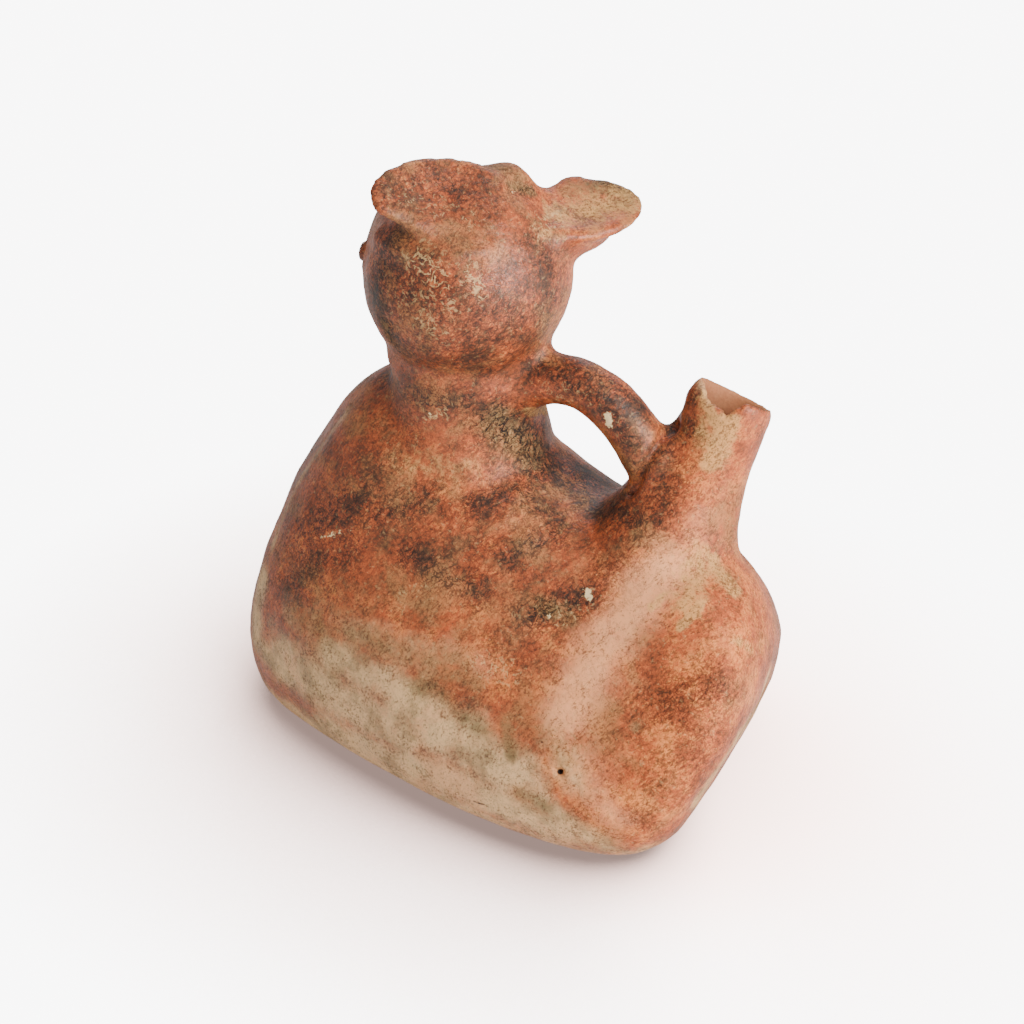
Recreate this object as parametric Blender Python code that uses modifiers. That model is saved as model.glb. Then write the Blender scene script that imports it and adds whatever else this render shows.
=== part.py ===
"""An animal-headed whistling vessel of hand-built fired clay.

The body is a hollow loaf on a flat foot. A round head with two cupped ears sits on a wide neck
near the chest, and a bridge handle joins the neck to a leaning, tapered spout at the tail end.
Clay, neck, head, ears, handle and spout are one piece, and the head opens into the body.

Metres, +Z up. X runs along the body, with the spout at +X and the chest at -X. The origin lies
on the ground under the middle of the foot.
"""

import math

import bmesh
import bpy
from mathutils import Matrix, Vector

# Walls, bores and flats
WALL = 0.0055
FLOOR_WALL = 0.0070
HEAD_WALL = 0.0048
EAR_THICKNESS = 0.0052
MOUTH_BORE = 0.0212
MOUTH_WALL = 0.0032
FOOT_TRIM = 0.0035

# Body: a loaf, made as a box cage of cuts x cuts x cuts cells that subdivision rounds off
BODY_LENGTH = 0.208
BODY_MIDDLE = -0.0026
BODY_WIDTH = 0.136
CHEST_TOP = 0.114
NECK_TOP = 0.146
TAIL_TOP = 0.100
CAGE_CUTS = 3
# Stations along the body from the chest to the tail, as shares of half its length
STATIONS = (-1.00, -0.62, -0.15, 0.42, 1.00)
# The tail's near corner reaches further than its far one, as a share of half the length
TAIL_SKEW = 0.12
# Tops at the stations, and widths there as shares of BODY_WIDTH
TOPS = (CHEST_TOP, NECK_TOP, 0.85 * NECK_TOP, 0.97 * TAIL_TOP, TAIL_TOP)
PLAN = (0.79, 0.93, 1.05, 1.13, 1.03)
# Half-widths at the chest and at the tail, and end reaches, at five heights from the foot up,
# as shares
CHEST_FLANK = (0.92, 1.00, 0.92, 0.70, 0.42)
TAIL_FLANK = (0.92, 1.00, 0.88, 0.62, 0.38)
CHEST_REACH = (0.94, 1.00, 0.95, 0.87, 0.74)
TAIL_REACH = (0.82, 0.91, 1.01, 0.99, 0.87)
CORNER_PULL = 0.08
CROWN_DROP = 0.08

# Neck and head, turned about one upright axis
HEAD_X = -0.0226
HEAD_RADIUS = 0.0368
HEAD_HEIGHT = 0.1760
NECK_RADIUS = 0.0272
NECK_HEIGHT = 0.1440
NECK_ROOT_RADIUS = 0.0300
NECK_ROOT_HEIGHT = 0.1100
NECK_WAIST = 0.0015
# How much of the way to the neck the skull keeps to its own circle
SKULL_SHARE = 0.82

# Both the neck and the spout turn inwards below their roots, so that they fade into the body
ROOT_CURL = 0.62
ROOT_DEPTH = 0.0180

# The head's own directions: it is turned to the far side, looks up a little and is cocked
HEAD_TURN = math.radians(-34)
HEAD_PITCH = math.radians(10)
HEAD_ROLL = math.radians(12)

# Face: a shallow mask in front of the skull, a short muzzle and two ringed eyes
FACE_RADIUS = 0.0315
FACE_FORWARD = 0.0120
MUZZLE_RADIUS = 0.0130
MUZZLE_FORWARD = 0.0345
MUZZLE_DROP = 0.0080
EYE_RADIUS = 0.0050
EYE_RELIEF = 0.0015
EYE_AZIMUTH = math.radians(61)
EYE_RISE = math.radians(-4)

# Brows: a low swelling over each eye, placed forward, outward and up
BROW_RADIUS = 0.0085
BROW_PLACE = (0.0135, 0.0215, 0.0225)

# Ears: two cupped leaves of clay, set by hand and not quite alike. Each has its side, the
# place of its middle forward, outward and up, its rise, its forward sweep and its lean back.
EAR_LENGTH = 0.0475
EAR_WIDTH = 0.0340
EAR_CUP = 0.0030
EAR_TAPER = 0.12
# The thicker root under each leaf: its length, width and depth, and how far below and inwards
EAR_ROOT = (0.0400, 0.0260, 0.0150)
EAR_ROOT_DROP = 0.0064
EAR_ROOT_SHIFT = 0.0050
EAR_PLACES = {
    "left": (1, -0.0038, 0.0224, 0.0302, math.radians(-6), math.radians(12), math.radians(29)),
    "right": (-1, -0.0090, 0.0308, 0.0312, math.radians(12), 0.0, math.radians(11)),
}

# Bridge handle: a round bar that starts inside the back of the neck, passes these points and
# ends on the spout's axis, at a share of its length
HANDLE_WIDTH = 0.0190
HANDLE_ROOT_FLARE = 1.45
HANDLE_START_HEIGHT = 0.1340
HANDLE_POINTS = (
    (0.0064, 0.000, 0.1430),
    (0.0234, 0.001, 0.1460),
    (0.0394, 0.002, 0.1375),
    (0.0504, 0.003, 0.1240),
)
HANDLE_END_SHARE = 0.40

# Spout, turned about its own leaning axis
SPOUT_X = 0.0546
SPOUT_Y = 0.0020
SPOUT_ROOT_HEIGHT = 0.0840
SPOUT_LENGTH = 0.0665
SPOUT_LEAN = math.radians(23.5)
SPOUT_HEADING = math.radians(50)
SPOUT_ROOT_RADIUS = 0.0282
# The spout's taper: heights as shares of its length, and what it has there of its root's flare
SPOUT_TAPER = ((0.70, 0.12), (0.38, 0.46))
RIM_SLANT = math.radians(12)
RIM_BEARING = math.radians(20)
# Spare length past the mouth, which the slanted cut takes off
RIM_SPARE = 0.0060
# The chip in the rim: its width, depth, bearing round the mouth, and its reach to each side of
# the wall's middle as a share of the wall
CHIP_WIDTH = 0.0200
CHIP_DEPTH = 0.0070
CHIP_REACH = 1.6
CHIP_BEARING = math.radians(-116)

# Soft joints: the clay skin is drawn over the joined forms with this grain
SKIN_GRAIN = 0.0024
SKIN_SMOOTHING = 9
SKIN_SHARE = 0.097
HOLLOW_SHARE = 0.5

CLAY = (0.42, 0.16, 0.085, 1.0)


def clear_scene():
    for old in list(bpy.data.objects):
        bpy.data.objects.remove(old, do_unlink=True)


def collection(name):
    made = bpy.data.collections.new(name)
    bpy.context.scene.collection.children.link(made)
    return made


def helper(obj, group):
    """Keeps a form that only shapes the vessel out of sight."""
    group.objects.link(obj)
    obj.hide_render = True
    obj.display_type = "WIRE"
    return obj


def mesh_from(bm, name):
    mesh = bpy.data.meshes.new(name)
    bm.to_mesh(mesh)
    bm.free()
    return bpy.data.objects.new(name, mesh)


def between(values, share):
    """Reads a row of evenly spaced values at a share from 0 to 1."""
    place = min(max(share, 0.0), 1.0) * (len(values) - 1)
    low = min(int(place), len(values) - 2)
    part = place - low
    return values[low] * (1 - part) + values[low + 1] * part


def loaf(name):
    """The body as a box cage, reshaped by its rules, that Subdivision rounds."""
    bm = bmesh.new()
    bmesh.ops.create_cube(bm, size=2.0)
    bmesh.ops.subdivide_edges(bm, edges=bm.edges[:], cuts=CAGE_CUTS, use_grid_fill=True)
    for vert in bm.verts:
        along, across, up = vert.co
        rise = (up + 1) / 2
        station = (along + 1) / 2
        pull = 1 - CORNER_PULL * along**2 * across**2
        reach = between(TAIL_REACH if along > 0 else CHEST_REACH, rise)
        flank = between(CHEST_FLANK, rise) * (1 - station) + between(TAIL_FLANK, rise) * station
        top = between(TOPS, station) * (1 - CROWN_DROP * across**2)
        skew = TAIL_SKEW * across * max(along, 0)
        vert.co.x = (between(STATIONS, station) * pull * reach - skew) * BODY_LENGTH / 2
        vert.co.x += BODY_MIDDLE
        vert.co.y = across * BODY_WIDTH / 2 * pull * flank * between(PLAN, station)
        vert.co.z = rise * (top + FOOT_TRIM) - FOOT_TRIM
    for face in bm.faces:
        face.smooth = True
    obj = mesh_from(bm, name)
    rounding = obj.modifiers.new("rounding", "SUBSURF")
    rounding.levels = 2
    rounding.render_levels = 2
    return obj


def box_below(name, height, group):
    """A cutter that takes away all that lies under the given height."""
    depth = BODY_WIDTH
    bm = bmesh.new()
    bmesh.ops.create_cube(bm, size=1.0)
    bmesh.ops.scale(bm, verts=bm.verts, vec=(2 * BODY_LENGTH, 2 * BODY_WIDTH, depth))
    bmesh.ops.translate(bm, verts=bm.verts, vec=(0, 0, height - depth / 2))
    return helper(mesh_from(bm, name), group)


def boolean(obj, name, operation, target):
    step = obj.modifiers.new(name, "BOOLEAN")
    step.operation = operation
    step.solver = "EXACT"
    if isinstance(target, bpy.types.Collection):
        step.operand_type = "COLLECTION"
        step.collection = target
    else:
        step.object = target
    return step


def spline(points, steps):
    """A smooth line through a few points, for profiles and the handle's path."""
    ends = [2 * points[0] - points[1]] + list(points) + [2 * points[-1] - points[-2]]
    line = []
    for before, start, end, after in zip(ends, ends[1:], ends[2:], ends[3:]):
        for step in range(steps):
            t = step / steps
            line.append(
                0.5
                * (
                    2 * start
                    + (end - before) * t
                    + (2 * before - 5 * start + 4 * end - after) * t**2
                    + (3 * start - before - 3 * end + after) * t**3
                )
            )
    line.append(points[-1])
    return line


def offset(profile, wall):
    """The profile moved inwards by a wall, along its own normals."""
    moved = []
    for index, point in enumerate(profile):
        before = profile[max(index - 1, 0)]
        after = profile[min(index + 1, len(profile) - 1)]
        run = (after - before).normalized()
        moved.append(point + wall * Vector((run.y, -run.x)))
    return [Vector((max(point.x, 0.0), point.y)) for point in moved]


def turned(name, profile, steps):
    """A closed solid of revolution; the profile runs from the top down to the bottom."""
    outline = [Vector((0, profile[0].y))] + profile + [Vector((0, profile[-1].y))]
    bm = bmesh.new()
    verts = [bm.verts.new((point.x, 0, point.y)) for point in outline]
    for first, second in zip(verts, verts[1:]):
        if (first.co - second.co).length > 1e-6:
            bm.edges.new((first, second))
    bmesh.ops.remove_doubles(bm, verts=bm.verts, dist=1e-6)
    obj = mesh_from(bm, name)
    turn = obj.modifiers.new("turn", "SCREW")
    turn.steps = steps
    turn.render_steps = steps
    turn.use_merge_vertices = True
    turn.merge_threshold = 0.00005
    return obj


def head_profile():
    """From the crown round the skull, in to the neck and out to its root."""
    low = HEAD_HEIGHT - NECK_HEIGHT
    last = math.acos(-min(low / HEAD_RADIUS, 1.0) * SKULL_SHARE)
    rings = 11
    skull = []
    for ring in range(1, rings + 1):
        angle = last * ring / rings
        skull.append(
            Vector((HEAD_RADIUS * math.sin(angle), HEAD_HEIGHT + HEAD_RADIUS * math.cos(angle)))
        )
    middle = (NECK_RADIUS + NECK_ROOT_RADIUS) / 2 - NECK_WAIST
    neck = [
        skull[-1],
        Vector((NECK_RADIUS, NECK_HEIGHT)),
        Vector((middle, (NECK_HEIGHT + NECK_ROOT_HEIGHT) / 2)),
        Vector((NECK_ROOT_RADIUS, NECK_ROOT_HEIGHT)),
        Vector((ROOT_CURL * NECK_ROOT_RADIUS, NECK_ROOT_HEIGHT - ROOT_DEPTH)),
    ]
    return skull[:-1] + spline(neck, 2)


def head_frame():
    """Turns the head's own axes (X forward, Y to its left, Z up) into place."""
    forward = Matrix.Rotation(math.pi + HEAD_TURN, 4, "Z")
    nod = Matrix.Rotation(-HEAD_PITCH, 4, "Y")
    cock = Matrix.Rotation(HEAD_ROLL, 4, "X")
    return Matrix.Translation((HEAD_X, 0, HEAD_HEIGHT)) @ forward @ nod @ cock


def ball(name, matrix, segments, rings):
    """A unit sphere reshaped by a matrix."""
    bm = bmesh.new()
    bmesh.ops.create_uvsphere(bm, u_segments=segments, v_segments=rings, radius=1.0)
    bm.transform(matrix)
    return mesh_from(bm, name)


def scaling(x, y, z):
    return Matrix.Diagonal((x, y, z, 1.0))


def ear_place(side, forward, outward, up, rise, sweep, lean):
    """Puts an ear on the head: its own X runs out to the tip and its own Z is its open side."""
    flat = math.cos(rise)
    out = Vector((flat * math.sin(sweep), side * flat * math.cos(sweep), math.sin(rise)))
    back = Vector((-math.sin(lean), 0, math.cos(lean)))
    opening = (back - out * back.dot(out)).normalized()
    spin = Matrix((out, opening.cross(out), opening)).transposed().to_4x4()
    return Matrix.Translation((forward, side * outward, up)) @ spin


def ear(name, place, group):
    """A leaf of even thickness with a rounded edge, cupped towards its open side."""
    bm = bmesh.new()
    bmesh.ops.create_uvsphere(bm, u_segments=28, v_segments=14, radius=1.0)
    for vert in bm.verts:
        along, across, up = vert.co
        rim = along**2 + across**2
        vert.co.x = along * EAR_LENGTH / 2
        vert.co.y = across * (1 - EAR_TAPER * along) * EAR_WIDTH / 2
        vert.co.z = math.copysign(math.sqrt(abs(up)), up) * EAR_THICKNESS / 2
        vert.co.z += EAR_CUP * (rim - 0.5)
    bm.transform(head_frame() @ place)
    return helper(mesh_from(bm, name), group)


def ear_root(name, place, group):
    """The swelling that carries the leaf, under it and towards the skull."""
    length, width, depth = EAR_ROOT
    under = Matrix.Translation((-EAR_ROOT_SHIFT, 0, -EAR_ROOT_DROP))
    size = scaling(length / 2, width / 2, depth / 2)
    return helper(ball(name, head_frame() @ place @ under @ size, 20, 12), group)


def on_skull(azimuth, rise, radius):
    return Vector(
        (
            radius * math.cos(azimuth) * math.cos(rise),
            radius * math.sin(azimuth) * math.cos(rise),
            radius * math.sin(rise),
        )
    )


def eye(name, side, group):
    """A raised button on the side of the face."""
    place = on_skull(side * EYE_AZIMUTH, EYE_RISE, HEAD_RADIUS)
    spin = place.to_track_quat("Z", "Y").to_matrix().to_4x4()
    frame = head_frame() @ Matrix.Translation(place) @ spin
    return helper(ball(name, frame @ scaling(EYE_RADIUS, EYE_RADIUS, EYE_RELIEF), 16, 8), group)


def handle(name, group):
    """The bridge: a round bar bent along its path, with flared roots."""
    start = Vector((HEAD_X + NECK_RADIUS / 2, 0, HANDLE_START_HEIGHT))
    end = spout_frame() @ Vector((0, 0, HANDLE_END_SHARE * SPOUT_LENGTH))
    path = [start] + [Vector(point) for point in HANDLE_POINTS] + [end]
    line = spline(path, 4)
    curve = bpy.data.curves.new(name, "CURVE")
    curve.dimensions = "3D"
    curve.bevel_depth = HANDLE_WIDTH / 2
    curve.bevel_resolution = 4
    curve.use_fill_caps = True
    run = curve.splines.new("POLY")
    run.points.add(len(line) - 1)
    for index, point in enumerate(line):
        share = index / (len(line) - 1)
        flare = 1 + (HANDLE_ROOT_FLARE - 1) * abs(2 * share - 1) ** 4
        run.points[index].co = (*point, 1.0)
        run.points[index].radius = flare
    guide = bpy.data.objects.new(name + "_path", curve)
    bpy.context.scene.collection.objects.link(guide)
    bpy.context.view_layer.update()
    graph = bpy.context.evaluated_depsgraph_get()
    mesh = bpy.data.meshes.new_from_object(guide.evaluated_get(graph))
    bm = bmesh.new()
    bm.from_mesh(mesh)
    bmesh.ops.remove_doubles(bm, verts=bm.verts, dist=1e-5)
    bm.to_mesh(mesh)
    bm.free()
    bpy.data.objects.remove(guide, do_unlink=True)
    return helper(bpy.data.objects.new(name, mesh), group)


def spout_frame():
    base = Matrix.Translation((SPOUT_X, SPOUT_Y, SPOUT_ROOT_HEIGHT))
    heading = Matrix.Rotation(SPOUT_HEADING, 4, "Z")
    return base @ heading @ Matrix.Rotation(SPOUT_LEAN, 4, "Y")


def spout_profile(extra):
    rim = MOUTH_BORE / 2 + MOUTH_WALL
    flare = SPOUT_ROOT_RADIUS - rim
    top = [Vector((rim, SPOUT_LENGTH + extra))]
    taper = [Vector((rim + part * flare, SPOUT_LENGTH * height)) for height, part in SPOUT_TAPER]
    root = [
        Vector((SPOUT_ROOT_RADIUS, 0)),
        Vector((ROOT_CURL * SPOUT_ROOT_RADIUS, -ROOT_DEPTH)),
    ]
    return spline(top + taper + root, 3)


def rim_frame():
    """The plane of the mouth, tipped back so that its near side stands higher."""
    bearing = Matrix.Rotation(RIM_BEARING - SPOUT_HEADING, 4, "Z")
    tip = bearing @ Matrix.Rotation(-RIM_SLANT, 4, "X")
    return spout_frame() @ Matrix.Translation((0, 0, SPOUT_LENGTH)) @ tip


def rim_cuts(group):
    """The slanted end of the spout and the chip broken from its rim."""
    size = 4 * MOUTH_BORE
    bm = bmesh.new()
    bmesh.ops.create_cube(bm, size=size)
    bm.transform(rim_frame() @ Matrix.Translation((0, 0, size / 2)))
    helper(mesh_from(bm, "rim_cut"), group)
    middle = MOUTH_BORE / 2 + MOUTH_WALL / 2
    place = Matrix.Rotation(CHIP_BEARING, 4, "Z") @ Matrix.Translation((middle, 0, 0))
    size = scaling(CHIP_REACH * MOUTH_WALL, CHIP_WIDTH / 2, CHIP_DEPTH)
    helper(ball("rim_chip", rim_frame() @ place @ size, 8, 6), group)


def build():
    clear_scene()
    vessel_group = collection("whistling_vessel")
    trims = collection("trims")
    forms = collection("joined_forms")
    details = collection("added_details")
    hollows = collection("hollows")

    vessel = loaf("vessel")
    vessel_group.objects.link(vessel)

    profile = head_profile()
    head = helper(turned("neck_and_skull", profile, 32), forms)
    head.location.x = HEAD_X
    frame = head_frame()
    face = Matrix.Translation((FACE_FORWARD, 0, 0)) @ scaling(FACE_RADIUS, FACE_RADIUS, FACE_RADIUS)
    helper(ball("face", frame @ face, 24, 16), forms)
    muzzle = Matrix.Translation((MUZZLE_FORWARD, 0, -MUZZLE_DROP))
    muzzle = muzzle @ scaling(MUZZLE_RADIUS, MUZZLE_RADIUS, MUZZLE_RADIUS)
    helper(ball("muzzle", frame @ muzzle, 20, 12), forms)
    handle("bridge_handle", forms)
    spout = helper(turned("spout", spout_profile(RIM_SPARE), 24), forms)
    spout.matrix_world = spout_frame()
    for word, place in EAR_PLACES.items():
        ear_root(word + "_ear_root", ear_place(*place), forms)
        ear(word + "_ear", ear_place(*place), details)
        side = place[0]
        forward, outward, up = BROW_PLACE
        brow = Matrix.Translation((forward, side * outward, up))
        brow = brow @ scaling(BROW_RADIUS, BROW_RADIUS, BROW_RADIUS)
        helper(ball(word + "_brow", frame @ brow, 16, 12), forms)
        eye(word + "_eye", side, details)

    cavity = helper(loaf("body_hollow"), hollows)
    inset = cavity.modifiers.new("wall", "DISPLACE")
    inset.direction = "NORMAL"
    inset.mid_level = 0.0
    inset.strength = -WALL
    lighten = cavity.modifiers.new("lighten", "DECIMATE")
    lighten.ratio = HOLLOW_SHARE
    boolean(cavity, "floor", "DIFFERENCE", box_below("floor_cut", FLOOR_WALL, trims))
    skull = helper(turned("head_hollow", offset(profile, HEAD_WALL), 24), hollows)
    skull.location.x = HEAD_X
    bore = helper(turned("spout_bore", offset(spout_profile(2 * RIM_SPARE), MOUTH_WALL), 20), hollows)
    bore.matrix_world = spout_frame()
    rim_cuts(hollows)

    boolean(vessel, "join", "UNION", forms)
    skin = vessel.modifiers.new("skin", "REMESH")
    skin.mode = "VOXEL"
    skin.voxel_size = SKIN_GRAIN
    skin.use_smooth_shade = True
    soften = vessel.modifiers.new("soften", "SMOOTH")
    soften.factor = 0.5
    soften.iterations = SKIN_SMOOTHING
    lighten = vessel.modifiers.new("lighten", "DECIMATE")
    lighten.ratio = SKIN_SHARE
    boolean(vessel, "details", "UNION", details)
    boolean(vessel, "hollow", "DIFFERENCE", hollows)
    boolean(vessel, "foot", "DIFFERENCE", box_below("foot_cut", 0.0, trims))

    clay = bpy.data.materials.new("fired_clay")
    clay.use_nodes = True
    shader = clay.node_tree.nodes["Principled BSDF"]
    shader.inputs["Base Color"].default_value = CLAY
    shader.inputs["Roughness"].default_value = 0.55
    vessel.data.materials.append(clay)


build()
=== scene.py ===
# %% [markdown]
# # A whistling vessel of burnished clay
# The vessel is one hollow piece of fired clay: a loaf-shaped body, a round animal head with two
# cupped ears, a bridge handle and a leaning spout. The solid model gives every main form at its
# real place. This script turns that plain solid into worked, burnished and weathered clay, and
# sets it on a white floor in soft light.

import math

import bmesh
import bpy
import numpy as np
from mathutils import Euler, Matrix, Vector
from mathutils.bvhtree import BVHTree


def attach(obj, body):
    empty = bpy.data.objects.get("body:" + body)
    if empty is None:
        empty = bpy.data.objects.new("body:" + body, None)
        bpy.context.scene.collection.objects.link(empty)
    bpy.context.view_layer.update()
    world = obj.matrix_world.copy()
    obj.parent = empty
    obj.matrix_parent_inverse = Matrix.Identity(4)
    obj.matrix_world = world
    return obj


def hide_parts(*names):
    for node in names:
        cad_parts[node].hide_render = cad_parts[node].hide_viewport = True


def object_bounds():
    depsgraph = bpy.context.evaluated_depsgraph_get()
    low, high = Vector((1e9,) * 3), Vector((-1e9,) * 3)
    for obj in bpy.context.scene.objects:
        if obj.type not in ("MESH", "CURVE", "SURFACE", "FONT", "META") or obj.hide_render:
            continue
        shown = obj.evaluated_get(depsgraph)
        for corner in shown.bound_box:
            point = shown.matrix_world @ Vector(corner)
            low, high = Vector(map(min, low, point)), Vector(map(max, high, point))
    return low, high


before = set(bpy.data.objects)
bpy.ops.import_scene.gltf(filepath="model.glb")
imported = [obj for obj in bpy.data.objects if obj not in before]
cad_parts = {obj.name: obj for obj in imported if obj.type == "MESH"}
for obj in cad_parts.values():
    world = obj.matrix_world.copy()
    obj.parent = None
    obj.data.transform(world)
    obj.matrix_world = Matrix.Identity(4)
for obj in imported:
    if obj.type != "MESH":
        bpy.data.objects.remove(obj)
cad_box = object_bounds()
print("solid box", [[round(v, 4) for v in corner] for corner in cad_box])

# %% [markdown]
# ## The viewpoint
# The vessel was photographed from behind and above, with its spout to the right. A camera could be
# aimed by hand, but its place was worked out from the flat foot and the height of the vessel, so
# it is written here as numbers. A long lens keeps the near flank from swelling.

# %% Camera
EYE = Vector((0.3704, -0.5770, 0.4840))
EYE_TURN = Euler((math.radians(60), 0, math.radians(33)))
LENS = 77.34
SENSOR = 36.0
PICTURE = 1024

lens = bpy.data.cameras.new("viewpoint")
lens.lens = LENS
lens.sensor_width = SENSOR
camera = bpy.data.objects.new("viewpoint", lens)
camera.location = EYE
camera.rotation_euler = EYE_TURN
bpy.context.scene.collection.objects.link(camera)
bpy.context.scene.camera = camera


def sight(across, down):
    """The direction from the eye through a point of the picture, counted from its top left."""
    half = PICTURE / 2
    focal = LENS / SENSOR * PICTURE
    ray = Vector((across - half, half - down, -focal)).normalized()
    return EYE_TURN.to_matrix() @ ray


print("camera at", tuple(round(v, 3) for v in EYE))

# %% [markdown]
# ## Short words for node trees
# The clay's relief and its colours are built as node trees. The trees could be wired by hand in
# the editor, but a tree built in the script always comes out the same, so a few short words for
# placing, wiring and adding up nodes come first.

# %% Words for node trees
def node(tree, kind, **settings):
    made = tree.nodes.new(kind)
    for name, value in settings.items():
        setattr(made, name, value)
    return made


def wire(tree, target, value):
    """Feeds a socket from another socket, or sets it to a plain number or vector."""
    if isinstance(value, bpy.types.NodeSocket):
        tree.links.new(value, target)
    else:
        target.default_value = value


def sums(tree, operation, first, second=0.0, third=0.0):
    step = node(tree, "ShaderNodeMath", operation=operation)
    for socket, value in zip(step.inputs, (first, second, third)):
        wire(tree, socket, value)
    return step.outputs[0]


def noise(tree, place, scale, detail=2.0, roughness=0.5, distortion=0.0, seed=None):
    """Noise from about 0 to 1; the scale is in waves a metre."""
    step = node(tree, "ShaderNodeTexNoise", noise_dimensions="3D" if seed is None else "4D")
    wire(tree, step.inputs["Vector"], place)
    wire(tree, step.inputs["Scale"], scale)
    wire(tree, step.inputs["Detail"], detail)
    wire(tree, step.inputs["Roughness"], roughness)
    wire(tree, step.inputs["Distortion"], distortion)
    if seed is not None:
        wire(tree, step.inputs["W"], seed)
    return step.outputs[0]


def soft_step(tree, value, low, high, start=0.0, end=1.0):
    step = node(tree, "ShaderNodeMapRange", interpolation_type="SMOOTHSTEP")
    for socket, number in zip(step.inputs, (value, low, high, start, end)):
        wire(tree, socket, number)
    return step.outputs[0]


print("words for node trees ready")

# %% [markdown]
# ## Floor and light
# The studio was a white sweep with one large soft light to the right of the camera, bright enough
# to wash the paper out to white round a soft shadow. A lamp that strong would also bleach the
# clay. So only the camera sees the paper's glow, dimmed where the vessel stands close over it,
# and the light that reaches the clay comes from an ordinary white sky, a floor and three lamps.

# %% Floor, sky and lights
FLOOR_SIZE = 6.0
PAPER_GLOW = 8.6
SHADE_REACH = 0.14
SHADE_LEAN = (0.92, 0.33, 0.20)
SHADE_FLOOR = 0.05
SHADE_POWERS = (3.7, 0.5)
SHADE_FADE = 0.075
PICTURE_RIGHT = (0.839, 0.545, 0.0)
WARM_SHADE = (1.0, 0.68, 0.60, 1.0)
NEAR_WHITE = (1.0, 0.985, 0.985, 1.0)
SKY_LIGHT = 0.42


def glowing_paper():
    made = bpy.data.materials.new("white_paper")
    made.use_nodes = True
    tree = made.node_tree
    matt = tree.nodes["Principled BSDF"]
    matt.inputs["Base Color"].default_value = (0.84, 0.82, 0.80, 1.0)
    matt.inputs["Roughness"].default_value = 0.9
    open_sky = node(tree, "ShaderNodeAmbientOcclusion", samples=16)
    open_sky.inputs["Distance"].default_value = SHADE_REACH
    open_sky.inputs["Normal"].default_value = SHADE_LEAN
    place = node(tree, "ShaderNodeTexCoord").outputs["Object"]
    rightward = node(tree, "ShaderNodeVectorMath", operation="DOT_PRODUCT")
    wire(tree, rightward.inputs[0], place)
    rightward.inputs[1].default_value = PICTURE_RIGHT
    # The painted shadow on the paper is deep on the left and fades out on the picture's right,
    # toward the key light.
    depth = soft_step(tree, rightward.outputs["Value"], 0.0, SHADE_FADE, *SHADE_POWERS)
    share = sums(tree, "POWER", open_sky.outputs["AO"], depth)
    share = sums(tree, "MAXIMUM", share, SHADE_FLOOR)
    tint = node(tree, "ShaderNodeMix", data_type="RGBA")
    wire(tree, tint.inputs[0], sums(tree, "POWER", open_sky.outputs["AO"], 6.0))
    tint.inputs[6].default_value = WARM_SHADE
    tint.inputs[7].default_value = NEAR_WHITE
    glow = node(tree, "ShaderNodeEmission")
    wire(tree, glow.inputs["Color"], tint.outputs[2])
    wire(tree, glow.inputs["Strength"], sums(tree, "MULTIPLY", share, PAPER_GLOW))
    pick = node(tree, "ShaderNodeMixShader")
    wire(tree, pick.inputs[0], node(tree, "ShaderNodeLightPath").outputs["Is Camera Ray"])
    tree.links.new(matt.outputs[0], pick.inputs[1])
    tree.links.new(glow.outputs[0], pick.inputs[2])
    tree.links.new(pick.outputs[0], tree.nodes["Material Output"].inputs["Surface"])
    return made


bm = bmesh.new()
bmesh.ops.create_grid(bm, x_segments=1, y_segments=1, size=FLOOR_SIZE / 2)
floor_mesh = bpy.data.meshes.new("studio_floor")
bm.to_mesh(floor_mesh)
bm.free()
floor = bpy.data.objects.new("studio_floor", floor_mesh)
floor_mesh.materials.append(glowing_paper())
bpy.context.scene.collection.objects.link(floor)

sky = bpy.data.worlds.new("white_studio")
sky.use_nodes = True
backdrop = sky.node_tree.nodes["Background"]
backdrop.inputs["Color"].default_value = NEAR_WHITE
watched = node(sky.node_tree, "ShaderNodeLightPath").outputs["Is Camera Ray"]
glow = sums(sky.node_tree, "MULTIPLY_ADD", watched, PAPER_GLOW - SKY_LIGHT, SKY_LIGHT)
wire(sky.node_tree, backdrop.inputs["Strength"], glow)
bpy.context.scene.world = sky


def area_light(name, place, target, size, power, colour):
    data = bpy.data.lights.new(name, "AREA")
    data.shape = "DISK"
    data.size = size
    data.energy = power
    data.color = colour
    made = bpy.data.objects.new(name, data)
    made.location = place
    aim = Vector(place) - Vector(target)
    made.rotation_euler = aim.to_track_quat("Z", "Y").to_euler()
    bpy.context.scene.collection.objects.link(made)


AIM = (0.0, 0.0, 0.10)
area_light("key_light", (1.30, -0.36, 0.92), AIM, 0.85, 36.0, (1.0, 0.98, 0.93))
area_light("side_light", (1.35, 0.05, 0.25), AIM, 0.6, 9.0, (1.0, 0.97, 0.92))
area_light("back_light", (-0.5, 1.1, 1.1), AIM, 1.2, 9.0, (0.92, 0.95, 1.0))
print("floor, sky and three lights")

# %% [markdown]
# ## The clay wall
# The solid has flat facets of a few millimetres, which real clay doesn't have. It could be rounded
# with Subdivision Surface, but its triangles are uneven, and subdivision would keep them as
# dimples. A voxel remesh rebuilds the whole closed wall, inside and outside, as small even
# squares, and a smoothing that spares the thin ears and the spout's lip then melts the facets away.

# %% A fine skin on the solid's form
FINE_GRAIN = 0.00146
WELD_REACH = 1e-6
OFF_THE_FACE = 0.0005
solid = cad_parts["vessel"]


def welded_copy(source, name):
    mesh = source.data.copy()
    bm = bmesh.new()
    bm.from_mesh(mesh)
    bmesh.ops.remove_doubles(bm, verts=bm.verts, dist=WELD_REACH)
    bm.to_mesh(mesh)
    bm.free()
    mesh.materials.clear()
    made = bpy.data.objects.new(name, mesh)
    bpy.context.scene.collection.objects.link(made)
    return made


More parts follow.
